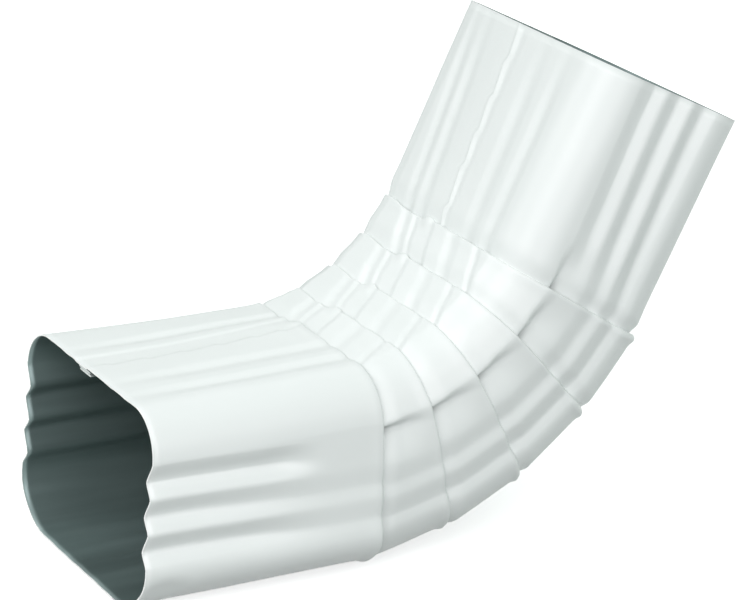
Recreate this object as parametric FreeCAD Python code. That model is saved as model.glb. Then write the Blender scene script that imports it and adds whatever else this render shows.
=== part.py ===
"""Downspout elbow: one sheet-metal tube, corrugated, closed by a lock seam and pleated round a bend."""
import FreeCAD, Part
import math
import os

V = FreeCAD.Vector

# Sheet, mm
SHEET = 0.6

# Section over the pleats, mm; the depth lies in the bend plane, the seam side is the far one
WIDTH = 108.0
DEPTH = 83.0
THROAT_CORNER = 17.5
HEEL_CORNER = 23.0

# Far throat corner, pressed in by the pleating, mm; the first pleat has it all, the inlet a share
FAR_PRESS = 5.4
FAR_PRESS_EDGE = 2.9
INLET_PRESS_RATIO = 0.4

# Outlet mouth, drawn in so that it enters the next pipe, mm
OUTLET_WIDTH = 103.0
OUTLET_DEPTH = 82.0
OUTLET_DROP = 3.0

# Inlet mouth, opened so that it takes the pipe above, mm
INLET_WIDTH = 110.0
INLET_DEPTH = 83.0

# Bend, degrees and mm
PLEAT_COUNT = 5
PLEAT_ANGLE = 13.4
THROAT_RADIUS = 74.5
HEEL_BULGE = 2.0
OUTLET_LEG = 86.0
INLET_LEG = 76.0

# Corrugation, mm; the legs have round grooves and the bend has pressed ones
SIDE_COUNT = 3
HEEL_COUNT = 5
NEAR_THROAT_COUNT = 2
FAR_THROAT_COUNT = 1
THROAT_PLAIN = 10.5
SIDE_GROOVE = 3.6
WIDE_GROOVE = 0.9
WIDE_GROOVE_AT_MOUTH = 0.25
PRESSED_GROOVE = 0.9
CREASE_GROOVE = 2.6
OUTLET_FADE = 36.0
INLET_FADE = 20.0

# Pleat fold, mm
TUCK = 8.5
TUCK_OPEN = 1.2
TUCK_INSET_THROAT = 2.8
TUCK_INSET_HEEL = 2.2
BEAD_RISE_THROAT = 0.5
BEAD_RISE_HEEL = 1.1
SPREAD_LENGTH = 6.0
SPREAD_INSET = 0.6

# Lock seam, pressed flat, mm; its layers of sheet stand out on both faces
SEAM_WIDTH = 7.5
SEAM_EDGE = 0.8
SEAM_AT_OUTLET = 6.5
SEAM_AT_PLEATS = 5.0
SEAM_AT_INLET = 9.5
SEAM_OUTSIDE_COUNT = 1
SEAM_INSIDE_COUNT = 2

# Parts of a corner, and of half a side groove
CORNER_PARTS = 5
SIDE_PARTS = 3

NEAR = -1
FAR = 1
THIRDS = (0.0, 1 / 3, 2 / 3, 1.0)
STEP_ANGLE = math.radians(PLEAT_ANGLE)
SEAM_REACH = SEAM_WIDTH / 2 + SEAM_EDGE
OUTLET_CENTRE = THROAT_RADIUS + DEPTH / 2 + OUTLET_DROP


def mix(first, second, share):
    return first + (second - first) * share


class Section:
    """Rounded rectangle: y across the bend, q from throat to heel."""

    def __init__(self, width, depth, drop, press):
        self.width = width
        self.depth = depth
        self.drop = drop
        self.press = press
        self.shift = (DEPTH - depth) / 2 + drop

    def toward(self, other, share):
        """Section part of the way to another one."""
        return Section(mix(self.width, other.width, share), mix(self.depth, other.depth, share),
                       mix(self.drop, other.drop, share), mix(self.press, other.press, share))


class Corrugation:
    """Groove depths of one ring; a round ring has cosine grooves and arcs at its corners, a pressed
    one has straight flanks and short flats there."""

    def __init__(self, first, side, wide, is_round):
        self.first = first
        self.side = side
        self.wide = wide
        self.is_round = is_round


class Ring:
    """One closed line round a face of the sheet, as a list of runs of points."""

    def __init__(self, section, grooves, seam_y, seam_rise, angle, run_angle, profile):
        self.section = section
        self.grooves = grooves
        self.seam_y = seam_y
        self.seam_rise = seam_rise
        self.angle = angle
        self.run_angle = run_angle
        self.profile = profile
        self.runs = self.far_half() + self.near_half() + self.seam()

    def place(self, y, q, normal, inset, growth=1.0):
        """Section point moved inwards by its groove and by the ring's profile, in the part's frame."""
        along, depth = self.profile(1.0 - q / self.section.depth, SHEET * growth)
        depth += inset
        y -= normal[0] * depth
        radius = THROAT_RADIUS + self.section.shift + q - normal[1] * depth
        x = radius * math.sin(self.angle) + along * math.cos(self.run_angle)
        z = -radius * math.cos(self.angle) + along * math.sin(self.run_angle)
        return V(x + OUTLET_LEG, y, z + OUTLET_CENTRE)

    def pressed(self, points):
        """The run itself on a round ring, its chord on a pressed one."""
        if self.grooves.is_round:
            return points
        return [mix(points[0], points[-1], share) for share in THIRDS]

    def flat(self, start, end, normal, depths, press=(0.0, 0.0), parts=1):
        """Straight wall cut into half grooves, with the groove depth at each end of them, each made of
        one part or more; a wall may also lean inwards from one end to the other."""
        runs = []
        steps = (len(depths) - 1) * parts
        swing = math.pi / 2 * (len(depths) - 1) / math.dist(start, end)
        for number in range(steps):
            half = number // parts
            shallow, deep = depths[half], depths[half + 1]
            points = []
            for third in THIRDS:
                whole = (number + third) / steps
                share = (number + third) / parts - half
                growth = math.hypot(1.0, (deep - shallow) * swing * math.sin(math.pi * share))
                inset = mix(shallow, deep, (1 - math.cos(math.pi * share)) / 2)
                inset += mix(press[0], press[1], whole)
                points.append(self.place(mix(start[0], end[0], whole), mix(start[1], end[1], whole),
                                         normal, inset, growth))
            runs.append(self.pressed(points))
        return runs

    def turn(self, centre, radius, first, last, press=(0.0, 0.0)):
        """Rounded corner between two directions in degrees, 0 along +y and 90 towards the heel; its
        throat end and its middle may be pressed in."""
        runs = []
        for part in range(CORNER_PARTS):
            points = []
            for third in THIRDS:
                share = (part + third) / CORNER_PARTS
                angle = math.radians(mix(first, last, share))
                normal = (math.cos(angle), math.sin(angle))
                inset = mix(press[0] * (1 - share), press[1], math.sin(math.pi * share))
                y = centre[0] + radius * normal[0]
                q = centre[1] + radius * normal[1]
                points.append(self.place(y, q, normal, inset))
            runs.append(self.pressed(points))
        return runs

    def walls(self, side):
        """Corner, side wall, heel corner and half of the heel wall, from throat to heel."""
        section = self.section
        edge = side * section.width / 2
        heel = section.depth - HEEL_CORNER
        start, middle, end = (-90.0, 0.0, 90.0) if side == FAR else (-90.0, -180.0, -270.0)
        press = self.press(side)
        centre = (edge - side * THROAT_CORNER, THROAT_CORNER)
        runs = self.turn(centre, THROAT_CORNER, start, middle, press)
        first_end = mix(THROAT_CORNER, heel, 1 / SIDE_COUNT)
        first = [0.0, self.grooves.first, 0.0]
        runs += self.flat((edge, THROAT_CORNER), (edge, first_end), (side, 0.0), first, parts=SIDE_PARTS)
        others = [0.0] + [self.grooves.side, 0.0] * (SIDE_COUNT - 1)
        runs += self.flat((edge, first_end), (edge, heel), (side, 0.0), others, parts=SIDE_PARTS)
        runs += self.turn((edge - side * HEEL_CORNER, heel), HEEL_CORNER, middle, end)
        depths = [0.0]
        for number in range(HEEL_COUNT):
            depths.append(self.grooves.wide * ((number + 1) % 2))
        heel_start = (edge - side * HEEL_CORNER, section.depth)
        runs += self.flat(heel_start, (0.0, section.depth), (0.0, 1.0), depths)
        return runs

    def press(self, side):
        """Inset of a throat corner at its throat end and in its middle."""
        if side == NEAR:
            return 0.0, 0.0
        return FAR_PRESS_EDGE * self.section.press, FAR_PRESS * self.section.press

    def throat(self, side, start, count):
        """Grooved part of the throat wall, from a start to its corner."""
        end = side * (self.section.width / 2 - THROAT_CORNER)
        depths = [0.0] + [self.grooves.wide, 0.0] * count
        return self.flat((start, 0.0), (end, 0.0), (0.0, -1.0), depths, (0.0, self.press(side)[0]))

    def far_half(self):
        return self.throat(FAR, self.seam_y + SEAM_REACH, FAR_THROAT_COUNT) + self.walls(FAR)

    def near_half(self):
        plain = self.flat((self.seam_y - SEAM_REACH, 0.0), (-THROAT_PLAIN, 0.0), (0.0, -1.0), [0.0, 0.0])
        runs = plain + self.throat(NEAR, -THROAT_PLAIN, NEAR_THROAT_COUNT) + self.walls(NEAR)
        return [run[::-1] for run in runs[::-1]]

    def seam(self):
        """Step, flat and step of the lock seam."""
        half = SEAM_WIDTH / 2
        levels = ((-SEAM_REACH, 0.0), (-half, self.seam_rise), (half, self.seam_rise), (SEAM_REACH, 0.0))
        points = [self.place(self.seam_y + y, 0.0, (0.0, -1.0), -rise) for y, rise in levels]
        return [list(pair) for pair in zip(points, points[1:])]

    def wire(self):
        return Part.Wire([run_edge(run) for run in self.runs])


def is_straight(points):
    chord = points[-1] - points[0]
    return all((point - points[0]).cross(chord).Length < 1e-6 * chord.Length for point in points)


def cubic_poles(points):
    """Poles of the cubic that passes its four points at even thirds."""
    a, b, c, d = points
    return [a, (b * 18 - a * 5 - c * 9 + d * 2) / 6, (c * 18 - d * 5 - b * 9 + a * 2) / 6, d]


def run_edge(points):
    if is_straight(points):
        return Part.makeLine(points[0], points[-1])
    curve = Part.BezierCurve()
    curve.setPoles(cubic_poles(points))
    return curve.toShape()


def ruled_face(first, second):
    """Straight-lined face between two runs of points, part by part."""
    degree = 3
    if is_straight(first) and is_straight(second):
        degree = 1
        rows = [[first[0], first[-1]], [second[0], second[-1]]]
    else:
        rows = [cubic_poles(first), cubic_poles(second)]
    poles = [list(pair) for pair in zip(*rows)]
    surface = Part.BSplineSurface()
    surface.buildFromPolesMultsKnots(poles, [degree + 1] * 2, [2, 2], [0.0, 1.0], [0.0, 1.0],
                                     False, False, degree, 1)
    return surface.toShape()


class Fold:
    """One pleat seen in its wall: distance along the run and inset, for a share from heel to throat."""

    def core(self, share):
        return -SHEET, SHEET - mix(BEAD_RISE_HEEL, BEAD_RISE_THROAT, share)

    def tuck(self, share):
        return mix(TUCK_OPEN, -TUCK, share), mix(TUCK_INSET_HEEL, TUCK_INSET_THROAT, share)

    def nose(self, share, turn):
        """Painted face of the bead, from its crown at turn 0 to its under side at turn 1."""
        tuck = self.tuck(share)
        core = self.core(share)
        reach = (tuck[0] - core[0], core[1] - tuck[1])
        under = math.atan2(reach[1], reach[0]) % (2 * math.pi)
        under += math.acos(SHEET / math.hypot(*reach))
        angle = mix(math.radians(450.0), under, turn)
        return core[0] + SHEET * math.cos(angle), core[1] - SHEET * math.sin(angle)

    def spread(self, share):
        """Where the next wall is back at its full size, seen along the pleat's middle direction."""
        lean = SPREAD_LENGTH * math.tan(STEP_ANGLE / 2) * (1 - 2 * share)
        return SPREAD_LENGTH, SPREAD_INSET * share + lean

    def tuck_back(self, share, part):
        """Bare face round the fold's bottom: a corner of it, part of the way through the turn."""
        corner = self.tuck(share)
        before = self.nose(share, 1.0)
        after = self.spread(share)
        first = math.atan2(corner[1] - before[1], corner[0] - before[0])
        second = math.atan2(after[1] - corner[1], after[0] - corner[0])
        reach = SHEET / math.cos((second - first) / 4)
        direction = mix(first, second, part) + math.pi / 2
        return corner[0] + reach * math.cos(direction), corner[1] + reach * math.sin(direction)


FOLD = Fold()


def wall_at(distance, layers):
    """Profile of a plain wall at a distance along its leg."""
    return lambda share, sheet: (distance, layers * sheet)


def crown(share, sheet):
    return FOLD.nose(share, 0.0)


def nose(share, sheet):
    return FOLD.nose(share, 0.5)


def under(share, sheet):
    return FOLD.nose(share, 1.0)


def tuck(share, sheet):
    return FOLD.tuck(share)


def core(share, sheet):
    return FOLD.core(share)


def tuck_back(share, sheet):
    return FOLD.tuck_back(share, 0.25)


def tuck_end(share, sheet):
    return FOLD.tuck_back(share, 0.75)


def spread(share, sheet):
    return SPREAD_LENGTH, SPREAD_INSET * share


def spread_back(share, sheet):
    return SPREAD_LENGTH, SPREAD_INSET * share + sheet


def pleat_section(number):
    """Section at a pleat; the heel stands out by half its bulge at the first one, by all of it at the rest."""
    bulge = HEEL_BULGE * min(1.0, (number + 1) / 2)
    press = mix(1.0, INLET_PRESS_RATIO, number / PLEAT_COUNT)
    return Section(WIDTH, DEPTH + bulge, bulge / 2, press)


MOUTH = Corrugation(SIDE_GROOVE, SIDE_GROOVE, WIDE_GROOVE_AT_MOUTH, True)
ROUND = Corrugation(SIDE_GROOVE, SIDE_GROOVE, WIDE_GROOVE, True)
PRESSED = Corrugation(PRESSED_GROOVE, PRESSED_GROOVE, PRESSED_GROOVE, False)
CREASED = Corrugation(CREASE_GROOVE, PRESSED_GROOVE, PRESSED_GROOVE, False)
OUTLET = Section(OUTLET_WIDTH, OUTLET_DEPTH, OUTLET_DROP, 0.0)
INLET = Section(INLET_WIDTH, INLET_DEPTH, 0.0, INLET_PRESS_RATIO)


def outlet_rings(layers, rise):
    """Mouth of the lower leg, and where its grooves start to fade."""
    rings = []
    for distance, grooves in ((-OUTLET_LEG, MOUTH), (-OUTLET_FADE, ROUND)):
        section = OUTLET.toward(pleat_section(0), 1 + distance / OUTLET_LEG)
        rings.append(Ring(section, grooves, SEAM_AT_OUTLET, rise, 0.0, 0.0, wall_at(distance, layers)))
    return rings


def pleat_rings(number, layers, rise):
    """Bead, tuck and spread of one pleat on one face of the sheet."""
    angle = (number + 0.5) * STEP_ANGLE
    section = pleat_section(number)
    seam_y = SEAM_AT_PLEATS
    steps = ((crown, 0.8), (nose, 0.6), (under, 0.0), (tuck, 0.0))
    last = spread
    if layers:
        steps = ((core, 0.0), (tuck_back, 0.0), (tuck_end, 0.0))
        last = spread_back
    rings = []
    for profile, share in steps:
        rings.append(Ring(section, PRESSED, seam_y, rise * share, angle, angle, profile))
    rings.append(Ring(section, CREASED, seam_y, rise * 0.6, angle, angle + STEP_ANGLE / 2, last))
    return rings


def inlet_rings(layers, rise):
    """Where the upper leg's grooves have their full depth, and its mouth."""
    angle = PLEAT_COUNT * STEP_ANGLE
    rings = []
    for distance, grooves in ((INLET_FADE, ROUND), (INLET_LEG, MOUTH)):
        share = distance / INLET_LEG
        section = INLET.toward(pleat_section(PLEAT_COUNT - 1), 1 - share)
        seam_y = mix(SEAM_AT_PLEATS, SEAM_AT_INLET, share)
        rings.append(Ring(section, grooves, seam_y, rise, angle, angle, wall_at(distance, layers)))
    return rings


def skin(layers, seam_layers):
    """Faces of one side of the sheet, with its two end wires; layers is 0 outside and 1 inside."""
    rise = seam_layers * SHEET
    rings = outlet_rings(layers, rise)
    for number in range(PLEAT_COUNT):
        rings += pleat_rings(number, layers, rise)
    rings += inlet_rings(layers, rise)
    faces = []
    for first, second in zip(rings, rings[1:]):
        faces += [ruled_face(a, b) for a, b in zip(first.runs, second.runs)]
    return faces, [rings[0].wire(), rings[-1].wire()]


def elbow():
    """Closed solid between the painted face and the bare face of the sheet."""
    outside, rims = skin(0, SEAM_OUTSIDE_COUNT)
    inside, bores = skin(1, -SEAM_INSIDE_COUNT)
    mouths = [Part.Face([rim, bore]) for rim, bore in zip(rims, bores)]
    shell = Part.Compound(outside + inside + mouths)
    shell.sewShape(0.001)
    solid = Part.Solid(shell.Shells[0])
    if solid.Volume < 0:
        solid.reverse()
    return solid


def main():
    os.makedirs("parts", exist_ok=True)
    elbow().exportStep("parts/elbow.step")


main()
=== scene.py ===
"""Downspout elbow: the looks of one corrugated, pleated sheet-metal tube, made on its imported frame."""
import math

import bpy
from bpy.props import FloatProperty, FloatVectorProperty, IntProperty, PointerProperty
from mathutils import Euler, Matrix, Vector


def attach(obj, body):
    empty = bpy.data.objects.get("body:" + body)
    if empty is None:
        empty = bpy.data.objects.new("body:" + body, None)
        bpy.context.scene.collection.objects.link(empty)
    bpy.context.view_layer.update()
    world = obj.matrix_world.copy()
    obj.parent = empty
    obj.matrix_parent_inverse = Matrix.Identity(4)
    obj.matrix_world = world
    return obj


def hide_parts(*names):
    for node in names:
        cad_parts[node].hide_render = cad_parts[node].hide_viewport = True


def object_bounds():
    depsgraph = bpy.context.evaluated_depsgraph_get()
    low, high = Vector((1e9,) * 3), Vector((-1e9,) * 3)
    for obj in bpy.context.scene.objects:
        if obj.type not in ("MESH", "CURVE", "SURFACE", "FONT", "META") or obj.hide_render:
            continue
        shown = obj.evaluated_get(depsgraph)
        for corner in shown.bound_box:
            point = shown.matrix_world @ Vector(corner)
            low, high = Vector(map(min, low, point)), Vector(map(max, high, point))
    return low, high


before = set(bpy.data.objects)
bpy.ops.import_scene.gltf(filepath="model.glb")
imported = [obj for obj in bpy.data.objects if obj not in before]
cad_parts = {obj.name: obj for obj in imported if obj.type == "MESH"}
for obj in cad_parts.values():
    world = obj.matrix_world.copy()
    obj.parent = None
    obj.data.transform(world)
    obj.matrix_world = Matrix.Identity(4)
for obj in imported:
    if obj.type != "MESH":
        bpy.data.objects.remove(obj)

bl_info = {
    "name": "Downspout Elbow",
    "version": (1, 0, 0),
    "blender": (4, 5, 0),
    "location": "View3D > Sidebar > Elbow",
    "description": "Builds a corrugated downspout elbow with a pleated bend and a lock seam",
    "category": "Add Mesh",
}

MM = 0.001
QUARTER_TURN = math.pi / 2
# Name of the point attribute that carries painted shade: dark under each fold and along each pinch beside a
# pleat.
PAINTED_SHADE_ATTRIBUTE = "painted_fold_shade"
CAD_BOX = [list(corner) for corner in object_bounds()]


def length(name, words, millimetres):
    """A size that a user may change, in metres."""
    return FloatProperty(name=name, description=words, default=millimetres * MM, subtype="DISTANCE",
                         unit="LENGTH", precision=5)


def colour(name, words, value):
    """A colour that a user may change."""
    return FloatVectorProperty(name=name, description=words, default=value, subtype="COLOR", size=3,
                               min=0.0, max=1.0)


class ElbowSizes(bpy.types.PropertyGroup):
    """Sizes of the folded sheet."""
    width: length("Width", "Section across the bend", 108.0)
    depth: length("Depth", "Section from throat to heel", 83.0)
    throat_corner: length("Throat corner", "Radius of the corners on the inner side of the bend", 17.5)
    heel_corner: length("Heel corner", "Radius of the corners on the outer side of the bend", 23.0)
    sheet: length("Sheet", "Thickness of the metal", 0.6)
    throat_radius: length("Throat radius", "From the bend's axis to the throat wall", 74.5)
    pleat_angle: FloatProperty(name="Pleat angle", description="Turn of the tube at each pleat",
                               default=math.radians(13.4), subtype="ANGLE", unit="ROTATION")
    pleats: IntProperty(name="Pleats", description="Pleats round the bend", default=5, min=1)
    heel_bulge: length("Heel bulge", "How far the heel stands out round the bend", 2.0)
    outlet_leg: length("Outlet leg", "Lower leg, from its mouth to the bend", 86.0)
    inlet_leg: length("Inlet leg", "Upper leg, from the bend to its mouth", 76.0)
    outlet_width: length("Outlet width", "Drawn-in mouth, across the bend", 103.0)
    outlet_depth: length("Outlet depth", "Drawn-in mouth, from throat to heel", 82.0)
    outlet_drop: length("Outlet drop", "How far the drawn-in mouth sinks towards the heel", 3.0)
    inlet_width: length("Inlet width", "Opened mouth, across the bend", 110.0)
    trim: length("Trim", "What the shears took off each mouth", 0.08)
    side_groove: length("Side groove", "Depth of the grooves on the narrow walls", 3.6)
    wide_groove: length("Wide groove", "Depth of the grooves on the wide walls", 0.9)
    pressed_groove: length("Pressed groove", "Depth that the pleating leaves of a groove", 0.9)
    crease: length("Crease", "Depth of the pinch beside each pleat", 2.2)
    crease_at: length("Crease place", "Where a pinch starts, from the throat wall", 21.4)
    tuck: length("Tuck", "Depth of the fold at the throat", 8.5)
    tuck_open: length("Open tuck", "Width of the open fold at the heel", 1.2)
    tuck_inset: length("Tuck inset", "How far the fold's bottom lies inside the wall", 2.8)
    spread: length("Spread", "Length over which a wall comes back out of its fold", 6.0)
    bead: length("Bead", "Radius of the rolled edge over each fold, at the throat", 0.8)
    bead_heel: length("Heel bead", "Radius of the rolled edge over each fold, at the heel", 2.1)
    bead_rise: length("Bead rise", "Swelling of the wall behind its bead, at the throat", 0.5)
    bead_bulge: length("Bead bulge", "Swelling of the wall behind its bead, at the heel", 1.5)
    far_press: length("Far press", "How far the far throat corner is pressed in at the first pleat", 5.4)
    seam_width: length("Seam width", "Width of the lock seam on the lower leg", 7.5)
    seam_pinched: length("Pinched seam", "Width of the lock seam between the pleats", 4.6)
    seam_step: length("Seam step", "Height of the lock seam's edges", 0.5)
    seam_at_outlet: length("Seam at outlet", "Place of the lock seam across the lower leg", 5.8)
    seam_at_gores: length("Seam at gores", "Place of the lock seam across the bend", 3.0)
    seam_at_inlet: length("Seam at inlet", "Place of the lock seam at the upper leg's foot", -1.9)
    seam_tooth: length("Seam tooth", "Crimping of one edge of the lock seam on the legs", 1.8)
    unevenness: length("Unevenness", "How far the thin walls lie off true", 0.3)


class ElbowColours(bpy.types.PropertyGroup):
    """Finishes of the sheet and of the stage."""
    enamel: colour("Enamel", "Paint on the outside", (0.835, 0.865, 0.857))
    backer: colour("Backer", "Thin coat on the inside", (0.175, 0.235, 0.23))
    cut_edge: colour("Cut edge", "Bare metal at the rims", (0.80, 0.81, 0.80))
    seam_metal: colour("Seam metal", "Bare metal of the folded seam", (0.50, 0.53, 0.52))
    floor: colour("Floor", "Floor and backdrop", (0.97, 0.97, 0.97))


class Measure:
    """One number at each point of the sheet, worked out by nodes."""

    def __init__(self, tree, socket):
        self.tree = tree
        self.socket = socket

    def math(self, operation, *others):
        node = self.tree.nodes.new("ShaderNodeMath")
        node.operation = operation
        for socket, value in zip(node.inputs, (self,) + others):
            feed(self.tree, socket, value)
        return Measure(self.tree, node.outputs[0])

    def __add__(self, other):
        return self.math("ADD", other)

    def __radd__(self, other):
        return self.math("ADD", other)

    def __sub__(self, other):
        return self.math("SUBTRACT", other)

    def __rsub__(self, other):
        return (self * -1.0) + other

    def __mul__(self, other):
        return self.math("MULTIPLY", other)

    def __rmul__(self, other):
        return self.math("MULTIPLY", other)

    def __truediv__(self, other):
        return self.math("DIVIDE", other)

    def __neg__(self):
        return self * -1.0

    def above(self, limit):
        return self.math("GREATER_THAN", limit)

    def least(self, other):
        return self.math("MINIMUM", other)

    def most(self, other):
        return self.math("MAXIMUM", other)

    def ramp(self, low, high, kind="LINEAR"):
        """0 at the low value, 1 at the high one."""
        node = self.tree.nodes.new("ShaderNodeMapRange")
        node.interpolation_type = kind
        for name, value in (("Value", self), ("From Min", low), ("From Max", high)):
            feed(self.tree, node.inputs[name], value)
        return Measure(self.tree, node.outputs[0])

    def smooth(self, low, high):
        return self.ramp(low, high, "SMOOTHSTEP")

    def wave(self):
        """0 at whole numbers and 1 half way between them, along a cosine."""
        return 0.5 - 0.5 * (self * (2 * math.pi)).math("COSINE")


def feed(tree, socket, value):
    if isinstance(value, Measure):
        tree.links.new(value.socket, socket)
    else:
        socket.default_value = value


def mix(first, second, share):
    return first + (second - first) * share


class Rows:
    """Rows of points along the tube, columns round it, and the way that each flat run of columns takes."""
    LEG = 36
    GORE = 20
    NOSE = 5
    UNDER = 4
    FOLD = NOSE + UNDER
    COLUMNS = {
        "far_throat": 26, "seam_far_edge": 6, "seam": 7, "seam_near_edge": 3, "near_throat": 40,
        "near_throat_corner": 18, "near_crease": 22, "near_side": 28, "near_heel_corner": 12,
        "heel": 24, "far_heel_corner": 10, "far_side": 30, "far_throat_corner": 12,
    }
    TO_NEAR, TO_FAR = (-1.0, 0.0), (1.0, 0.0)
    TO_HEEL, TO_THROAT = (0.0, 1.0), (0.0, -1.0)
    FLATS = {
        "far_throat": TO_NEAR, "seam_far_edge": TO_NEAR, "seam": TO_NEAR, "seam_near_edge": TO_NEAR,
        "near_throat": TO_NEAR, "near_crease": TO_HEEL, "near_side": TO_HEEL, "heel": TO_FAR,
        "far_side": TO_THROAT,
    }


class Segment:
    """Stretch of the tube between two pleats; its flags are 1 on the lower leg, a gore or the upper leg."""

    def __init__(self, number, pleats):
        self.number = number
        self.is_outlet = 1.0 - number.above(0.5)
        self.is_inlet = number.above(pleats - 0.5)
        self.is_gore = 1.0 - self.is_outlet - self.is_inlet
        self.after_fold = 1.0 - self.is_outlet
        self.before_fold = 1.0 - self.is_inlet

    def pick(self, outlet, gore, inlet):
        return outlet * self.is_outlet + gore * self.is_gore + inlet * self.is_inlet


class SeamRun:
    """How the lock seam runs along the tube."""
    BOW_AT, BOW = -45 * MM, 1.1
    GORE_SLANT, INLET_SLANT = 0.42, 0.046
    INLET_WIDENING = 0.035
    TOOTH_PITCH = 15.5 * MM

    @staticmethod
    def on_outlet(start, along):
        """Place across the lower leg, along a slight bow."""
        bow = along - SeamRun.BOW_AT
        return start + bow * bow * SeamRun.BOW

    @staticmethod
    def on_inlet(start, along):
        """Place across the upper leg, a little aslant."""
        return start + along * SeamRun.INLET_SLANT


class SheetTree:
    """Node tree that lays a flat grid round the section and along the pleated tube.

    Its named numbers stand above the first method that uses them. Three in brackets are for the lower leg,
    the gores and the upper leg, and two in brackets are the ends of a range.
    """

    def __init__(self, sizes):
        self.tree = bpy.data.node_groups.new("pleated_sheet", "GeometryNodeTree")
        self.tree.is_modifier = True
        self.pleats = sizes.pleats
        self.inputs = {}
        self.add_inputs(sizes)

    def add_inputs(self, sizes):
        face = self.tree.interface
        face.new_socket("Geometry", in_out="OUTPUT", socket_type="NodeSocketGeometry")
        face.new_socket("Geometry", in_out="INPUT", socket_type="NodeSocketGeometry")
        for name in sizes.__annotations__:
            if name != "pleats":
                self.inputs[name] = face.new_socket(name, in_out="INPUT", socket_type="NodeSocketFloat")
        self.entry = self.tree.nodes.new("NodeGroupInput")

    def size(self, name):
        return Measure(self.tree, self.entry.outputs[name])

    def node(self, kind, **settings):
        node = self.tree.nodes.new(kind)
        for name, value in settings.items():
            setattr(node, name, value)
        return node

    NOSE_END = -math.radians(100)

    def build(self, material):
        rows = Rows.LEG * 2 + Rows.GORE * (self.pleats - 1) + Rows.FOLD * self.pleats + 1
        columns = sum(Rows.COLUMNS.values()) + 1
        grid = self.node("GeometryNodeMeshGrid")
        grid.inputs["Vertices X"].default_value = columns
        grid.inputs["Vertices Y"].default_value = rows
        index = Measure(self.tree, self.node("GeometryNodeInputIndex").outputs[0])
        column = (index / rows).math("FLOOR")
        self.directions(column)
        number, share, nose, under = self.walk(index - column * rows)
        here, bead, pinched = self.wall(Segment(number, self.pleats), share)
        angle = mix(QUARTER_TURN, self.NOSE_END, nose)
        place = self.shift(here, number, bead * angle.math("COSINE"), bead - bead * angle.math("SINE"))
        tip = self.wall(Segment(number + 1.0, self.pleats), share * 0.0)[0]
        place = [mix(a, b, under) for a, b in zip(place, tip)]
        # The paint gets painted shade under each fold and along each pinch.
        self.finish(grid, place, under.most(pinched), material)
        return self.tree

    SQUARE_ON = 0.9

    def directions(self, column):
        """Share of each run of columns, and the outward direction round the section."""
        self.parts = {}
        first = 0
        turn = column * 0.0 - QUARTER_TURN
        for name, count in Rows.COLUMNS.items():
            self.parts[name] = column.ramp(float(first), float(first + count))
            first += count
            if name not in Rows.FLATS:
                turn = turn - self.parts[name] * QUARTER_TURN
        self.outward = turn.math("COSINE"), turn.math("SINE")
        self.throat = self.outward[1].math("LESS_THAN", -self.SQUARE_ON)

    GORE_EASE = 0.5
    INLET_CROWDING = 1.3

    def walk(self, row):
        """Segment of the tube, share of its wall, and the two shares of the fold behind its bead."""
        gore = float(Rows.GORE + Rows.FOLD)
        first = float(Rows.LEG + Rows.FOLD)
        number = ((row - first) / gore).math("FLOOR") + 1.0
        number = number.most(0.0).least(float(self.pleats))
        segment = Segment(number, self.pleats)
        local = row - ((number - 1.0) * gore + first) * segment.after_fold
        count = mix(float(Rows.LEG), float(Rows.GORE), segment.is_gore)
        share = (local / count).least(1.0)
        nose = (local - count).ramp(0.0, float(Rows.NOSE))
        under = (local - count).ramp(float(Rows.NOSE), float(Rows.FOLD))
        eased = mix(share, share.smooth(0.0, 1.0), self.GORE_EASE)
        share = segment.pick(share, eased, share.math("POWER", self.INLET_CROWDING))
        return number, share, nose, under

    def reach(self, segment, share, q):
        """Distance along a segment from its middle, half its length there, and the depth of its tuck."""
        size = self.size
        half = (size("throat_radius") + q) * (size("pleat_angle") / 2.0).math("TANGENT")
        tuck = mix(size("tuck"), -size("tuck_open"), q / size("depth"))
        start = mix(-half - tuck, size("trim") - size("outlet_leg"), segment.is_outlet)
        end = mix(half - self.roll(q), size("inlet_leg") - size("trim"), segment.is_inlet)
        return mix(start, end, share), half, tuck

    BEAD_GROWS = (0.25, 0.9)

    def roll(self, q):
        """Radius of a bead, which is thicker towards the heel."""
        to_heel = q / self.size("depth")
        return mix(self.size("bead"), self.size("bead_heel"), to_heel.smooth(*self.BEAD_GROWS))

    def seam_edges(self, segment, share):
        """Far and near edge of the lock seam; each pleat shifts it, so it lies aslant between them."""
        size = self.size
        along = self.reach(segment, share, share * 0.0)[0]
        middle = segment.pick(SeamRun.on_outlet(size("seam_at_outlet"), along),
                              size("seam_at_gores") + along * SeamRun.GORE_SLANT,
                              SeamRun.on_inlet(size("seam_at_inlet"), along))
        pinched = size("seam_pinched")
        wide = segment.pick(size("seam_width"), pinched, pinched + along * SeamRun.INLET_WIDENING)
        tooth = ((along / SeamRun.TOOTH_PITCH).math("FRACT") - 0.5) * size("seam_tooth")
        far = middle + wide / 2.0 + tooth * segment.is_inlet
        near = middle - wide / 2.0 + tooth * segment.is_outlet
        return far, near

    SEAM_FAR_EDGE = (3.0 * MM, 3.2 * MM, 0.9 * MM)
    SEAM_NEAR_EDGE = (1.3 * MM, 2.8 * MM, 1.4 * MM)
    CREASE_RUN = 10 * MM

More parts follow.
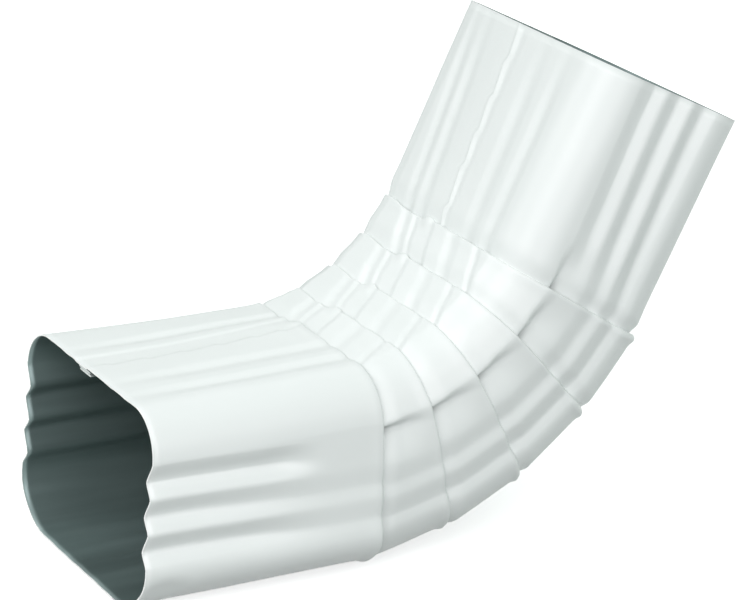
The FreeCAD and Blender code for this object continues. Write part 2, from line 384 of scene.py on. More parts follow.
    def section(self, segment, share):
        """Point on the rounded rectangle, y across the bend and q to the heel."""
        size = self.size
        half = size("width") / 2.0
        throat, heel = size("throat_corner"), size("heel_corner")
        side = size("depth") - throat - heel
        far, near = self.seam_edges(segment, share)
        far_edge = segment.pick(*self.SEAM_FAR_EDGE)
        near_edge = segment.pick(*self.SEAM_NEAR_EDGE)
        lengths = {
            "far_throat": half - throat - far - far_edge, "seam_far_edge": far_edge, "seam": far - near,
            "seam_near_edge": near_edge, "near_throat": near - near_edge + half - throat,
            "near_crease": self.CREASE_RUN, "near_side": side - self.CREASE_RUN, "far_side": side,
            "heel": (half - heel) * 2.0,
        }
        y, q = half - throat, throat * 0.0
        turn = -QUARTER_TURN
        for name, part in self.parts.items():
            if name in lengths:
                across, to_heel = Rows.FLATS[name]
                y = y + lengths[name] * part * across
                q = q + lengths[name] * part * to_heel
                continue
            radius = throat if "throat" in name else heel
            angle = turn - part * QUARTER_TURN
            y = y + radius * (angle.math("COSINE") - math.cos(turn))
            q = q + radius * (angle.math("SINE") - math.sin(turn))
            turn -= QUARTER_TURN
        return y, q

    KNOT_AT, KNOT_REACH, KNOT_RISE = 6.8 * MM, 4.5 * MM, 0.5 * MM
    RISE_GROWS, RISE_REACH = (0.66, 1.0), 5.5 * MM
    PINCHED = (0.0, 1.0, 0.8)
    CALM_NEAR_FOLDS = (3 * MM, 14 * MM)
    # Reach of the painted shade along a pinch, down the wall and along the segment.
    DUST_DOWN, DUST_ALONG = 4 * MM, 6 * MM

    def wall(self, segment, share):
        """Place of the painted face in the part's frame, its bead's radius, and the painted shade along a
        pinch.
        """
        size = self.size
        y, q = self.section(segment, share)
        along, half, tuck = self.reach(segment, share, q)
        knot = self.throat * self.line(y, self.KNOT_AT, self.KNOT_REACH) * segment.before_fold
        slip = self.slip(segment, share, y, knot)
        along = along + slip
        ahead, behind = along + half, half - along
        to_heel = q / size("depth")
        outlet = segment.is_outlet * (-along / size("outlet_leg")).ramp(0.0, 1.0)
        inlet = segment.is_inlet * (along / size("inlet_leg")).ramp(0.0, 1.0)
        rise = mix(size("bead_rise"), size("bead_bulge"), to_heel.smooth(*self.RISE_GROWS))
        rise = rise + knot * self.KNOT_RISE
        pinch = self.pinch(q, ahead) * segment.pick(*self.PINCHED)
        inset = segment.after_fold * self.fold_inset(ahead, tuck, to_heel)
        inset = inset - segment.before_fold * rise * (1.0 - (behind - slip).smooth(0.0, self.RISE_REACH))
        inset = inset + self.side_grooves(segment, q, ahead, behind) + size("crease") * pinch
        inset = inset + self.crown(segment, q, inlet)
        inset = inset + self.wide_grooves(segment, y, along) + self.far_corner(segment, y, outlet)
        inset = inset + self.dent(segment, y, q, along) + self.seam(segment, y)
        from_fold, to_fold = ahead.smooth(*self.CALM_NEAR_FOLDS), behind.smooth(*self.CALM_NEAR_FOLDS)
        calm = segment.pick(to_fold, from_fold * to_fold, from_fold)
        inset = inset + size("unevenness") * calm * self.waver(segment, y, q, along)
        stretch = mix(mix(1.0, size("outlet_width") / size("width"), outlet),
                      size("inlet_width") / size("width"), inlet)
        deep = mix(1.0, size("outlet_depth") / size("depth"), outlet)
        drop = size("outlet_drop") * outlet + (1.0 - deep) * size("depth") / 2.0
        bulge = size("heel_bulge") * self.bulge(segment, along / half, outlet, inlet) * to_heel
        radius = size("throat_radius") + drop + q * deep + bulge
        # Painted shade along each pinch: darkest beside the pleat, fading down the wall and along the
        # segment.
        line = pinch * (1.0 - (q - size("crease_at")).smooth(0.0, self.DUST_DOWN))
        line = line * (1.0 - ahead.smooth(0.0, self.DUST_ALONG))
        return self.turned(segment.number, along, y * stretch, radius, inset), self.roll(q), line

    KNOT_SLIP = 0.9 * MM
    STEP_STARTS, STEP_ENDS, STEP_SLIP = (8 * MM, 12 * MM), (22 * MM, 36 * MM), 1.3 * MM
    SLIP_POWER = 8.0

    def slip(self, segment, share, y, knot):
        """How far a wall's last stretch slips along the throat: on at the seam's knot, back beyond it."""
        step = self.throat * y.smooth(*self.STEP_STARTS) * (1.0 - y.smooth(*self.STEP_ENDS))
        back = step * segment.before_fold * self.STEP_SLIP
        return (knot * self.KNOT_SLIP - back) * share.math("POWER", self.SLIP_POWER)

    OUTLET_BULGE = 0.5
    GORE_CROWN, LATER_GORES = 0.4, 0.75

    def bulge(self, segment, place, outlet, inlet):
        """Share of the heel's bulge: none at the mouths, most half way along the later gores."""
        middle = 1.0 - place.math("POWER", 2.0).least(1.0)
        later = (segment.number - 1.0).ramp(0.0, 1.0)
        gore = 1.0 + middle * self.GORE_CROWN + later * self.LATER_GORES
        return segment.pick(self.OUTLET_BULGE * (1.0 - outlet), gore, 1.0 - inlet)

    def heading(self, number):
        """Sine and cosine of a segment's turn."""
        angle = number * self.size("pleat_angle")
        return angle.math("SINE"), angle.math("COSINE")

    def turned(self, number, along, y, radius, inset):
        """Place of a wall's point, moved inwards and turned with its segment."""
        ny, nq = self.outward
        sine, cosine = self.heading(number)
        radius = radius - nq * inset
        axis = self.size("throat_radius") + self.size("depth") / 2.0 + self.size("outlet_drop")
        return (radius * sine + along * cosine + self.size("outlet_leg"), y - ny * inset,
                along * sine - radius * cosine + axis)

    def shift(self, place, number, along, inset):
        """Moves a place along its segment and inwards."""
        ny, nq = self.outward
        sine, cosine = self.heading(number)
        x, y, z = place
        return (x + along * cosine - nq * inset * sine, y - ny * inset,
                z + along * sine + nq * inset * cosine)

    HEEL_OPENS = (0.7, 1.0)
    INSET_LOW, INSET_AT_HEEL, SPREAD_AT_HEEL = 0.8, 0.45, 0.6

    def fold_inset(self, ahead, tuck, to_heel):
        """Inset of a wall that comes out of its fold, smaller and sooner over at the heel."""
        heel = to_heel.smooth(*self.HEEL_OPENS)
        deep = self.size("tuck_inset") * mix(mix(1.0, self.INSET_LOW, to_heel), self.INSET_AT_HEEL, heel)
        spread = self.size("spread") * mix(1.0, self.SPREAD_AT_HEEL, heel)
        return deep * (1.0 - (ahead + tuck).ramp(0.0, tuck + spread))

    PINCH_DRIFT, PINCH_DRIFTS_OVER = 1.8 * MM, 16 * MM
    PINCH_FLANK, PINCH_OPENS_OVER = (2.2 * MM, 5.4 * MM), 10 * MM
    PINCH_HEEL_FLANK = 15 * MM
    PINCH_FADES = (8 * MM, 22 * MM)

    def pinch(self, q, ahead):
        """Step that leaves each pleat below the throat corner and dies out in the first side groove."""
        gap = q - self.size("crease_at") - self.PINCH_DRIFT * ahead.ramp(0.0, self.PINCH_DRIFTS_OVER)
        reach = mix(*self.PINCH_FLANK, ahead.ramp(0.0, self.PINCH_OPENS_OVER))
        throat_flank = 1.0 - (-gap / reach).smooth(0.0, 1.0)
        heel_flank = 1.0 - gap.smooth(0.0, self.PINCH_HEEL_FLANK)
        return throat_flank * heel_flank * (1.0 - ahead.smooth(*self.PINCH_FADES))

    OUTLET_DRIFT, OUTLET_DRIFT_FADES = 2.2 * MM, (30 * MM, 90 * MM)
    GORE_DRIFT = 4.4 * MM
    INLET_DRIFT, INLET_DRIFT_FADES = 3.2 * MM, (0.0, 75 * MM)
    OUTLET_FROM = {"first": 24 * MM, "second": 18 * MM, "third": 20 * MM}
    OUTLET_FULL = {"first": 46 * MM, "second": 85 * MM, "third": 62 * MM}
    INLET_GROOVES, INLET_DEPTH = (2 * MM, 30 * MM), 0.62
    PRESSED_DEPTH, LATER_DEPTH = (0.55, 1.05), 1.9
    SIDE_GROOVES = 2.999
    DEEPEST_AT, STRAIGHT_FLANKS = 0.6, 0.6

    def side_grooves(self, segment, q, ahead, behind):
        """Corrugation of the narrow walls: full on the legs, pressed shallow round the bend and drawn
        towards the heel there; the three grooves fade at different places."""
        size = self.size
        drift = segment.pick(self.OUTLET_DRIFT * (1.0 - behind.ramp(*self.OUTLET_DRIFT_FADES)),
                             self.GORE_DRIFT,
                             self.INLET_DRIFT * (1.0 - ahead.ramp(*self.INLET_DRIFT_FADES)))
        across = (q - drift).ramp(size("throat_corner"), size("depth") - size("heel_corner"))
        third = across.above(2 / 3)
        second = across.above(1 / 3) - third
        outlet = behind.smooth(*(ends["first"] + (ends["second"] - ends["first"]) * second
                                 + (ends["third"] - ends["first"]) * third
                                 for ends in (self.OUTLET_FROM, self.OUTLET_FULL)))
        full = segment.pick(outlet, 0.0, ahead.smooth(*self.INLET_GROOVES) * self.INLET_DEPTH)
        pressed = size("pressed_groove") * mix(*self.PRESSED_DEPTH, across) * (second + third)
        pressed = pressed * mix(1.0, self.LATER_DEPTH, (segment.number - 1.0).ramp(0.0, 2.0))
        phase = (across * self.SIDE_GROOVES).math("FRACT")
        phase = (phase.ramp(0.0, self.DEEPEST_AT) + phase.ramp(self.DEEPEST_AT, 1.0)) * 0.5
        flanks = 1.0 - (phase - 0.5).math("ABSOLUTE") * 2.0
        return mix(pressed, size("side_groove"), full) * mix(phase.wave(), flanks, self.STRAIGHT_FLANKS)

    BELLY, BELLY_LOWEST, INLET_BELLY = 2.8 * MM, 0.3, 0.8
    SIDE_FACING = (0.2, 0.9)
    FULL_CORNER_AT, FULL_CORNER_REACH, FULL_CORNER = 0.35, 0.5, 0.9 * MM
    CORNER_POWER, FLAT_CORNER = 0.7, 1.0 * MM
    RIDGE_AT, RIDGE_REACH, RIDGE = 18.5 * MM, 6 * MM, 0.6 * MM

    def crown(self, segment, q, inlet):
        """Bellied sides and flatter near corners round the bend, fuller heel corners on the lower leg."""
        ny, nq = self.outward
        facing = ny.math("ABSOLUTE")
        across = q.ramp(self.size("throat_corner"), self.size("depth") - self.size("heel_corner"))
        belly = ((across - self.BELLY_LOWEST) / (1.0 - self.BELLY_LOWEST)).math("POWER", 2.0) * self.BELLY
        belly = belly * facing.ramp(*self.SIDE_FACING)
        full = self.line(nq, self.FULL_CORNER_AT, self.FULL_CORNER_REACH) * self.FULL_CORNER
        flat = (facing * (-nq).most(0.0) * 2.0).math("POWER", self.CORNER_POWER) * self.FLAT_CORNER
        ridge = self.line(q, self.RIDGE_AT, self.RIDGE_REACH) * self.RIDGE
        near = ny.math("LESS_THAN", 0.0) * (flat - ridge)
        return segment.pick(-full, belly + near, belly * self.INLET_BELLY * (1.0 - inlet))

    MOUTH_FADE, DEPTH_AT_MOUTH = 36 * MM, 0.2
    WIDE_DEPTH = (1.0, 0.8, 1.0)
    HEEL_GROOVES = 5.0
    THROAT_GROOVES = {
        "far": (20.0 * MM, 18.5 * MM, 16.0 * MM),
        "middle": (-16.0 * MM, -15.0 * MM, -17.7 * MM),
        "near": (-29.5 * MM, -31.5 * MM, -29.9 * MM),
    }
    THROAT_SLANTS = {"far": (0.0, 0.42, 0.12), "middle": (0.0, 0.42, 0.055), "near": (0.0, 0.44, 0.025)}
    FAR_REACH = 4.6 * MM
    OUTER_AWAY, OUTER_REACH = 9 * MM, 4.0 * MM
    INNER_AWAY, INNER_REACH, INNER_DEPTH = 6.5 * MM, 2.6 * MM, 0.7
    MIDDLE_REACH, MIDDLE_DEPTH = 5.5 * MM, 0.8
    NEAR_REACH = (5.0 * MM, 2.8 * MM, 5.0 * MM)

    def wide_grooves(self, segment, y, along):
        """Corrugation of the throat and heel walls; it fades at the mouths."""
        size = self.size
        mouth = segment.pick((along + size("outlet_leg")).smooth(0.0, self.MOUTH_FADE), 1.0,
                             (size("inlet_leg") - along).smooth(0.0, self.MOUTH_FADE))
        depth = size("wide_groove") * mix(self.DEPTH_AT_MOUTH, 1.0, mouth) * segment.pick(*self.WIDE_DEPTH)
        reach = size("width") / 2.0 - size("heel_corner")
        heel = (y.ramp(-reach, reach) * self.HEEL_GROOVES).wave() * self.outward[1].above(self.SQUARE_ON)
        far, middle, near = (self.groove_place(segment, along, name) for name in self.THROAT_GROOVES)
        lines = self.line(y, far, self.FAR_REACH)
        lines = lines + self.line(y, far + self.OUTER_AWAY, self.OUTER_REACH) * segment.is_inlet
        inner = self.line(y, far - self.INNER_AWAY, self.INNER_REACH) * self.INNER_DEPTH
        lines = lines + inner * segment.is_gore
        lines = lines + self.line(y, middle, self.MIDDLE_REACH) * self.MIDDLE_DEPTH
        lines = lines + self.line(y, near, segment.pick(*self.NEAR_REACH))
        return depth * (heel + self.throat * lines)

    def groove_place(self, segment, along, name):
        """Where a groove lies across the throat wall; beyond the first pleat it runs aslant."""
        places = zip(self.THROAT_GROOVES[name], self.THROAT_SLANTS[name])
        return segment.pick(*(place + along * slant for place, slant in places))

    def line(self, value, middle, reach):
        """1 at a middle value, falling softly to 0 on both sides of it."""
        return 1.0 - (value - middle).math("ABSOLUTE").smooth(0.0, reach)

    LAST_PRESS = 0.4
    PRESSED_FROM, PRESSED_EDGE = 10 * MM, 0.5

    def far_corner(self, segment, y, outlet):
        """Far throat corner, rounder where the pleating pressed it."""
        ny, nq = self.outward
        far = ny.most(0.0)
        fall = mix(1.0, self.LAST_PRESS, (segment.number / float(self.pleats)).ramp(0.0, 1.0))
        press = self.size("far_press") * fall * (1.0 - outlet)
        corner = (far * (-nq).most(0.0) * 2.0).math("POWER", self.CORNER_POWER)
        wall_end = self.size("width") / 2.0 - self.size("throat_corner")
        edge = self.throat * y.ramp(self.PRESSED_FROM, wall_end)
        return press * (corner + self.PRESSED_EDGE * (edge * (1.0 - far)))

    DENT_ALONG, DENT_LENGTH = -76 * MM, 10 * MM
    DENT_DOWN, DENT_HEIGHT = 70.5 * MM, 5 * MM
    DENT = 1.2 * MM

    def dent(self, segment, y, q, along):
        """Pucker by the outlet, where the near heel corner starts."""
        away = ((along - self.DENT_ALONG) / self.DENT_LENGTH).math("POWER", 2.0)
        away = away + ((q - self.DENT_DOWN) / self.DENT_HEIGHT).math("POWER", 2.0)
        near = segment.is_outlet * y.math("LESS_THAN", 0.0)
        return (1.0 - away.smooth(0.0, 1.0)) * near * self.DENT

    SEAM_CREST = 0.4
    SEAM_FOOT, SEAM_FALL, SEAM_BACK = 0.6, 1.4, 0.8
    LOW_BESIDE, LOW_STEP = (9 * MM, 24 * MM), 1.6

    def seam(self, segment, y):
        """Lock seam: a shallow strip on the lower leg and a low ridge on the upper leg; on the gores the
        far wall stays low beside it."""
        far = self.parts["seam_far_edge"].smooth(0.0, 1.0)
        near = self.parts["seam_near_edge"].smooth(0.0, 1.0)
        across = self.parts["seam"]
        ridge = far * self.SEAM_FOOT - across.smooth(0.0, self.SEAM_CREST) * self.SEAM_FALL
        ridge = ridge + across.smooth(self.SEAM_CREST, 1.0) * self.SEAM_BACK
        low = self.throat * (1.0 - y.smooth(*self.LOW_BESIDE)) * (1.0 - near)
        return self.size("seam_step") * segment.pick(far - near, low * self.LOW_STEP, -ridge)

    WAVER_SCALE, WAVER_DETAIL, WAVER_ALONG = 38.0, 1.0, 0.5
    WAVER_RANGE = (0.3, 0.7)

    def waver(self, segment, y, q, along):
        """Slow unevenness of thin sheet, from 0 to 1."""
        vector = self.node("ShaderNodeCombineXYZ")
        for socket, value in zip(vector.inputs, (along * self.WAVER_ALONG + segment.number, y, q)):
            feed(self.tree, socket, value)
        noise = self.node("ShaderNodeTexNoise")
        noise.inputs["Scale"].default_value = self.WAVER_SCALE
        noise.inputs["Detail"].default_value = self.WAVER_DETAIL
        self.tree.links.new(vector.outputs[0], noise.inputs["Vector"])
        return Measure(self.tree, noise.outputs[0]).ramp(*self.WAVER_RANGE)

    WELD = 0.01 * MM

    def finish(self, grid, place, painted_fold_shade, material):
        """Sets the points, joins the grid's two edges, keeps the painted shade of folds and pinches for the
        paint, and ends the tree.
        """
        links = self.tree.links
        vector = self.node("ShaderNodeCombineXYZ")
        for socket, value in zip(vector.inputs, place):
            feed(self.tree, socket, value)
        move = self.node("GeometryNodeSetPosition")
        links.new(grid.outputs["Mesh"], move.inputs["Geometry"])
        links.new(vector.outputs[0], move.inputs["Position"])
        store = self.node("GeometryNodeStoreNamedAttribute", data_type="FLOAT", domain="POINT")
        store.inputs["Name"].default_value = PAINTED_SHADE_ATTRIBUTE
        links.new(move.outputs[0], store.inputs["Geometry"])
        feed(self.tree, store.inputs["Value"], painted_fold_shade)
        weld = self.node("GeometryNodeMergeByDistance")
        weld.inputs["Distance"].default_value = self.WELD
        links.new(store.outputs[0], weld.inputs["Geometry"])
        smooth = self.node("GeometryNodeSetShadeSmooth")
        links.new(weld.outputs[0], smooth.inputs["Geometry"])
        realize = self.node("GeometryNodeRealizeInstances")
        links.new(smooth.outputs[0], realize.inputs[0])
        paint = self.node("GeometryNodeSetMaterial")
        paint.inputs["Material"].default_value = material
        links.new(realize.outputs[0], paint.inputs["Geometry"])
        out = self.node("NodeGroupOutput")
        links.new(paint.outputs[0], out.inputs[0])


def plain_mesh(name, tree, inputs, sizes):
    """Runs a tree once and keeps its result as a plain mesh object."""
    draft = bpy.data.objects.new(name, bpy.data.meshes.new(name))
    bpy.context.scene.collection.objects.link(draft)
    modifier = draft.modifiers.new("shape", "NODES")
    modifier.node_group = tree
    for key, item in inputs.items():
        modifier[item.identifier] = getattr(sizes, key)
    graph = bpy.context.evaluated_depsgraph_get()
    mesh = bpy.data.meshes.new_from_object(draft.evaluated_get(graph))
    draft.modifiers.remove(modifier)
    draft.data = mesh
    mesh.name = name
    return draft


class Finish:
    """A procedural material under construction."""
    PATTERN_LOW, PATTERN_HIGH = 0.2, 0.8

    def __init__(self, name, base, roughness, metallic=0.0):
        self.material = bpy.data.materials.new(name)
        self.material.use_nodes = True
        self.tree = self.material.node_tree
        self.shader = self.tree.nodes["Principled BSDF"]
        self.shader.inputs["Base Color"].default_value = (*base, 1.0)
        self.shader.inputs["Roughness"].default_value = roughness
        self.shader.inputs["Metallic"].default_value = metallic
        self.coords = self.tree.nodes.new("ShaderNodeTexCoord")

    def noise(self, scale, detail, stretch=(1.0, 1.0, 1.0)):
        mapping = self.tree.nodes.new("ShaderNodeMapping")
        mapping.inputs["Scale"].default_value = stretch
        self.tree.links.new(self.coords.outputs["Object"], mapping.inputs["Vector"])
        noise = self.tree.nodes.new("ShaderNodeTexNoise")
        noise.inputs["Scale"].default_value = scale
        noise.inputs["Detail"].default_value = detail
        self.tree.links.new(mapping.outputs[0], noise.inputs["Vector"])
        return noise.outputs["Fac"]

    def spread(self, source, low, high):
        """Maps a pattern onto a range of numbers."""
        node = self.tree.nodes.new("ShaderNodeMapRange")
        node.interpolation_type = "SMOOTHSTEP"
        node.inputs["From Min"].default_value = self.PATTERN_LOW
        node.inputs["From Max"].default_value = self.PATTERN_HIGH
        node.inputs["To Min"].default_value = low
        node.inputs["To Max"].default_value = high
        self.tree.links.new(source, node.inputs["Value"])
        return node.outputs[0]

    def tint(self, source, first, second):
        """Mixes two colours by a pattern."""
        node = self.tree.nodes.new("ShaderNodeMix")
        node.data_type = "RGBA"
        self.tree.links.new(source, node.inputs[0])
        for socket, value in ((node.inputs[6], first), (node.inputs[7], second)):
            if isinstance(value, tuple):
                socket.default_value = (*value, 1.0)
            else:
                self.tree.links.new(value, socket)
        return node.outputs[2]

    def bump(self, source, strength, distance):
        node = self.tree.nodes.new("ShaderNodeBump")
        node.inputs["Strength"].default_value = strength
        node.inputs["Distance"].default_value = distance
        self.tree.links.new(source, node.inputs["Height"])
        self.tree.links.new(node.outputs[0], self.shader.inputs["Normal"])

    def set(self, name, source):
        self.tree.links.new(source, self.shader.inputs[name])


def shade(base, factor):
    return tuple(channel * factor for channel in base)


def enamel(base):
    """Gloss paint: a faint mottle, a fine orange peel, and painted shade, darker under each fold and along
    each pinch beside a pleat.
    """
    paint = Finish("white_enamel", base, roughness=0.4)
    mottle = paint.spread(paint.noise(scale=9.0, detail=1.0), low=0.0, high=1.0)
    mottled = paint.tint(mottle, base, shade(base, factor=0.985))
    # Painted shade: the base colour falls to 0.55 of itself where the attribute marks a fold's underside or
    # a pinch's line.
    painted_fold_shade = paint.tree.nodes.new("ShaderNodeAttribute")
    painted_fold_shade.attribute_name = PAINTED_SHADE_ATTRIBUTE
    paint.set("Base Color", paint.tint(painted_fold_shade.outputs["Fac"], mottled, shade(base, factor=0.55)))
    paint.set("Roughness", paint.spread(paint.noise(scale=30.0, detail=1.0), low=0.38, high=0.42))
    paint.bump(paint.noise(scale=900.0, detail=2.0), strength=0.04, distance=0.2 * MM)
    paint.shader.inputs["Coat Weight"].default_value = 0.12
    paint.shader.inputs["Coat Roughness"].default_value = 0.2
    return paint.material


def backer(base):
    """Thin dull coat over bright metal, with rolling marks along the sheet."""
    coat = Finish("grey_backer", base, roughness=0.38, metallic=0.4)
    marks = coat.noise(scale=60.0, detail=4.0, stretch=(0.06, 1.0, 1.0))
    streak = coat.spread(marks, low=0.0, high=1.0)
    coat.set("Base Color", coat.tint(streak, shade(base, factor=0.82), shade(base, factor=1.2)))
    rubbed = coat.noise(scale=120.0, detail=3.0, stretch=(0.08, 1.0, 1.0))
    coat.set("Roughness", coat.spread(rubbed, low=0.32, high=0.44))
    coat.bump(coat.noise(scale=500.0, detail=2.0), strength=0.06, distance=0.2 * MM)
    return coat.material


def cut_edge(base, name):
    """Sheared edge of the sheet."""
    edge = Finish(name, base, roughness=0.35, metallic=0.6)
    edge.set("Roughness", edge.spread(edge.noise(scale=700.0, detail=3.0), low=0.28, high=0.45))
    edge.bump(edge.noise(scale=1500.0, detail=2.0), strength=0.1, distance=0.1 * MM)
    return edge.material


class ELBOW_OT_sheet(bpy.types.Operator):
    """Make the pleated sheet in place of the plain solid"""
    bl_idname = "elbow.sheet"
    bl_label = "Make Sheet"

    def execute(self, context):
        sizes = context.scene.elbow_sizes
        colours = context.scene.elbow_colours
        paint = enamel(tuple(colours.enamel))
        builder = SheetTree(sizes)
        tree = builder.build(paint)
        sheet = plain_mesh("pleated_sheet", tree, builder.inputs, sizes)
        for extra in (backer(tuple(colours.backer)), cut_edge(tuple(colours.cut_edge), "cut_edge")):
            sheet.data.materials.append(extra)
        wall = sheet.modifiers.new("wall", "SOLIDIFY")
        wall.thickness = sizes.sheet
        wall.offset = -1.0
        wall.material_offset = 1
        wall.material_offset_rim = 2
        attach(sheet, "root")
        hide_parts("elbow")
        return {"FINISHED"}


class SeamLayers:
    """Folded layers of the lock seam, which lie under the throat wall inside the tube. Each layer has its
    distance down from the wall and its drift across."""
    ROUND = 12
    STRETCHES = 8
    HALF_WIDTH, HALF_DEPTH = 4.6 * MM, 0.42 * MM
    ACROSS_POWER, DOWN_POWER = 0.5, 0.7
    OUTLET_GAP, OUTLET_END, OUTLET_ASIDE = 0.25 * MM, -8 * MM, 3.4 * MM
    OUTLET_LAYERS = ((1.05 * MM, 0.5 * MM), (1.95 * MM, -0.4 * MM))
    INLET_START, INLET_GAP = 12 * MM, 0.3 * MM
    INLET_LAYERS = ((1.25 * MM, 0.4 * MM), (2.15 * MM, -0.4 * MM))

    def __init__(self, sizes):
        self.sizes = sizes
        self.points = []
        self.faces = []

    def outline(self):
        """Cross-section of one flattened fold, across and down from the wall's inner face."""
        points = []
        for number in range(self.ROUND):
            angle = 2 * math.pi * number / self.ROUND
            across, down = math.cos(angle), math.sin(angle)
            points.append((math.copysign(abs(across) ** self.ACROSS_POWER, across) * self.HALF_WIDTH,
                           math.copysign(abs(down) ** self.DOWN_POWER, down) * self.HALF_DEPTH))
        return points

    def add(self, way, middle, radius, angle, down, drift):
        """One layer along a leg: distances along it, seam place and wall radius at each, the leg's turn."""
        sizes = self.sizes
        axis = sizes.throat_radius + sizes.depth / 2 + sizes.outlet_drop
        sine, cosine = math.sin(angle), math.cos(angle)
        first = len(self.points)
        for along, y, wall in zip(way, middle, radius):
            for across, deep in self.outline():
                here = wall + sizes.sheet + down + deep
                self.points.append((here * sine + along * cosine + sizes.outlet_leg, y + across + drift,
                                    along * sine - here * cosine + axis))
        for row in range(len(way) - 1):
            for number in range(self.ROUND):
                a = first + row * self.ROUND + number
                b = first + row * self.ROUND + (number + 1) % self.ROUND
                self.faces.append((a, b, b + self.ROUND, a + self.ROUND))
        last = first + (len(way) - 1) * self.ROUND
        self.faces.append(tuple(range(first + self.ROUND - 1, first - 1, -1)))
        self.faces.append(tuple(range(last, last + self.ROUND)))

    def stretches(self, start, end):
        """Even distances along a leg."""
        return [mix(start, end, number / self.STRETCHES) for number in range(self.STRETCHES + 1)]

    def lower(self):
        sizes = self.sizes
        way = self.stretches(self.OUTLET_GAP - sizes.outlet_leg, self.OUTLET_END)
        middle = [SeamRun.on_outlet(sizes.seam_at_outlet, along) - self.OUTLET_ASIDE for along in way]
        mouth = sizes.outlet_drop + (sizes.depth - sizes.outlet_depth) / 2
        radius = [sizes.throat_radius - along / sizes.outlet_leg * mouth for along in way]
        for down, drift in self.OUTLET_LAYERS:
            self.add(way, middle, radius, 0.0, down, drift)

    def upper(self):
        sizes = self.sizes
        way = self.stretches(self.INLET_START, sizes.inlet_leg - self.INLET_GAP)
        middle = [SeamRun.on_inlet(sizes.seam_at_inlet, along) for along in way]
        radius = [sizes.throat_radius] * len(way)
        for down, drift in self.INLET_LAYERS:
            self.add(way, middle, radius, sizes.pleats * sizes.pleat_angle, down, drift)

    def object(self, name):
        mesh = bpy.data.meshes.new(name)
        mesh.from_pydata(self.points, [], self.faces)
        mesh.validate()
        layers = bpy.data.objects.new(name, mesh)
        bpy.context.scene.collection.objects.link(layers)
        return layers


class ELBOW_OT_seam(bpy.types.Operator):
    """Make the folded layers of the lock seam inside both legs"""
    bl_idname = "elbow.seam"
    bl_label = "Make Seam Layers"

    def execute(self, context):
        builder = SeamLayers(context.scene.elbow_sizes)
        builder.lower()
        builder.upper()
        layers = builder.object("seam_layers")
        layers.data.materials.append(cut_edge(tuple(context.scene.elbow_colours.seam_metal), "seam_metal"))
        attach(layers, "root")
        return {"FINISHED"}


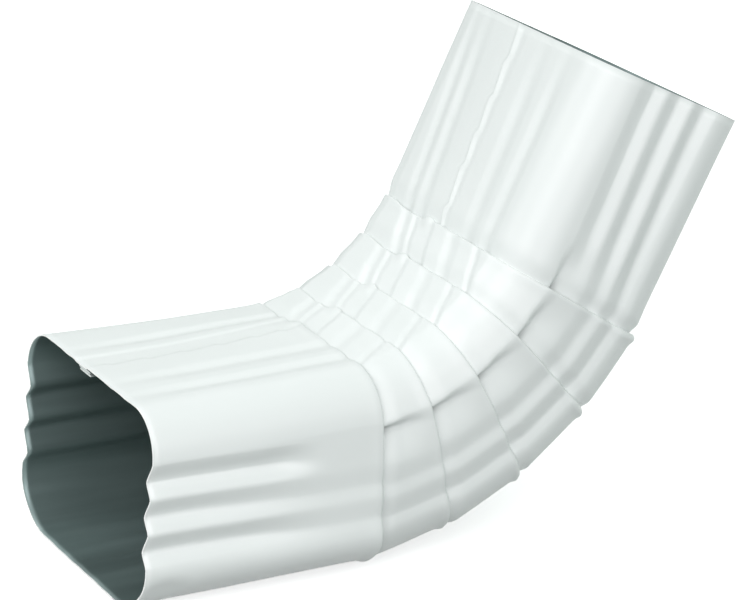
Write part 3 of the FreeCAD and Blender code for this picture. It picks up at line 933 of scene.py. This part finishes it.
class ELBOW_OT_stage(bpy.types.Operator):
    """Set up the floor, the lights and the camera"""
    bl_idname = "elbow.stage"
    bl_label = "Set Stage"
    WHITE = (1.0, 1.0, 1.0, 1.0)
    FLOOR_REACH, FLOOR_GAP = 6.0, 0.5 * MM
    FLOOR_ROUGHNESS, FLOOR_GLOW = 0.9, 0.6
    FLOOR_BOUNCE = (0.055, 0.085, 0.075, 1.0)
    SKY, SKY_STRENGTH = (0.80, 1.0, 0.92, 1.0), 0.38
    # Each lamp has its azimuth and elevation in degrees, its power and its size.
    LAMPS = {"key": (222, 31, 24.5, 1.5), "left": (150, 40, 16.0, 1.4), "near": (268, 15, 17.0, 1.4),
             "back": (60, 45, 4.0, 1.2)}
    LAMP_TINT = (1.0, 0.95, 0.975)
    LAMPS_AIM, LAMPS_AWAY = (0.12, 0.0, 0.05), 2.2
    SENSOR, LENS, CLIP_END = 36.0, 137.508, 50.0
    CAMERA_AT = (-0.465406, -0.860984, 0.446181)
    CAMERA_TURN = (69.2611, -5.15517, -32.40156)

    def execute(self, context):
        scene = context.scene
        scene.view_settings.view_transform = "Standard"
        self.floor(scene)
        self.world(scene)
        self.lamps(scene)
        self.camera(scene)
        return {"FINISHED"}

    def floor(self, scene):
        """Pale floor that looks white, keeps the shadow and sends little light back up."""
        lowest = CAD_BOX[0][2] - self.FLOOR_GAP
        mesh = bpy.data.meshes.new("floor")
        corners = [(x * self.FLOOR_REACH, y * self.FLOOR_REACH, lowest)
                   for x, y in ((-1, -1), (1, -1), (1, 1), (-1, 1))]
        mesh.from_pydata(corners, [], [(0, 1, 2, 3)])
        floor = bpy.data.objects.new("floor", mesh)
        scene.collection.objects.link(floor)
        material = bpy.data.materials.new("pale_floor")
        material.use_nodes = True
        tree = material.node_tree
        seen = tree.nodes["Principled BSDF"]
        seen.inputs["Base Color"].default_value = (*scene.elbow_colours.floor, 1.0)
        seen.inputs["Roughness"].default_value = self.FLOOR_ROUGHNESS
        seen.inputs["Emission Color"].default_value = self.WHITE
        seen.inputs["Emission Strength"].default_value = self.FLOOR_GLOW
        dull = tree.nodes.new("ShaderNodeBsdfDiffuse")
        dull.inputs["Color"].default_value = self.FLOOR_BOUNCE
        self.choose(tree, dull, seen, tree.nodes["Material Output"])
        mesh.materials.append(material)

    def choose(self, tree, gathered, seen, output):
        """Gives one shader to rays that show the stage, and another to those that gather its light."""
        choice = tree.nodes.new("ShaderNodeMixShader")
        tree.links.new(self.seen_ray(tree), choice.inputs[0])
        tree.links.new(gathered.outputs[0], choice.inputs[1])
        tree.links.new(seen.outputs[0], choice.inputs[2])
        tree.links.new(choice.outputs[0], output.inputs["Surface"])

    def seen_ray(self, tree):
        """1 for rays that show the stage itself, 0 for those that gather its light."""
        path = tree.nodes.new("ShaderNodeLightPath")
        total = path.outputs["Is Camera Ray"]
        for name in ("Is Glossy Ray", "Is Transmission Ray"):
            node = tree.nodes.new("ShaderNodeMath")
            node.operation = "MAXIMUM"
            tree.links.new(total, node.inputs[0])
            tree.links.new(path.outputs[name], node.inputs[1])
            total = node.outputs[0]
        return total

    def world(self, scene):
        """Soft light from all round, and a white backdrop."""
        world = bpy.data.worlds.new("studio")
        scene.world = world
        world.use_nodes = True
        tree = world.node_tree
        soft = tree.nodes["Background"]
        soft.inputs["Color"].default_value = self.SKY
        soft.inputs["Strength"].default_value = self.SKY_STRENGTH
        white = tree.nodes.new("ShaderNodeBackground")
        white.inputs["Color"].default_value = self.WHITE
        self.choose(tree, soft, white, tree.nodes["World Output"])

    def lamps(self, scene):
        """Soft boxes that face the elbow."""
        for name, (azimuth, elevation, power, size) in self.LAMPS.items():
            data = bpy.data.lights.new(name, "AREA")
            data.size = size
            data.energy = power
            data.color = self.LAMP_TINT
            lamp = bpy.data.objects.new(name, data)
            turn, rise = math.radians(azimuth), math.radians(elevation)
            way = Vector((math.cos(turn) * math.cos(rise), math.sin(turn) * math.cos(rise), math.sin(rise)))
            lamp.location = Vector(self.LAMPS_AIM) + way * self.LAMPS_AWAY
            lamp.rotation_euler = way.to_track_quat("Z", "Y").to_euler()
            scene.collection.objects.link(lamp)

    def camera(self, scene):
        data = bpy.data.cameras.new("camera")
        data.sensor_fit = "HORIZONTAL"
        data.sensor_width = self.SENSOR
        data.lens = self.LENS
        data.clip_end = self.CLIP_END
        camera = bpy.data.objects.new("camera", data)
        camera.location = self.CAMERA_AT
        camera.rotation_euler = Euler([math.radians(angle) for angle in self.CAMERA_TURN])
        scene.collection.objects.link(camera)
        scene.camera = camera


class ELBOW_PT_panel(bpy.types.Panel):
    """Sizes, colours and steps of the elbow"""
    bl_idname = "ELBOW_PT_panel"
    bl_label = "Downspout Elbow"
    bl_space_type = "VIEW_3D"
    bl_region_type = "UI"
    bl_category = "Elbow"

    def draw(self, context):
        for group in (context.scene.elbow_sizes, context.scene.elbow_colours):
            for name in group.__annotations__:
                self.layout.prop(group, name)
        for operator in (ELBOW_OT_sheet, ELBOW_OT_seam, ELBOW_OT_stage):
            self.layout.operator(operator.bl_idname)


CLASSES = (ElbowSizes, ElbowColours, ELBOW_OT_sheet, ELBOW_OT_seam, ELBOW_OT_stage, ELBOW_PT_panel)


def register():
    for item in CLASSES:
        bpy.utils.register_class(item)
    bpy.types.Scene.elbow_sizes = PointerProperty(type=ElbowSizes)
    bpy.types.Scene.elbow_colours = PointerProperty(type=ElbowColours)


def unregister():
    del bpy.types.Scene.elbow_colours
    del bpy.types.Scene.elbow_sizes
    for item in reversed(CLASSES):
        bpy.utils.unregister_class(item)


def main():
    register()
    bpy.ops.elbow.sheet()
    bpy.ops.elbow.seam()
    bpy.ops.elbow.stage()


if __name__ == "__main__":
    main()
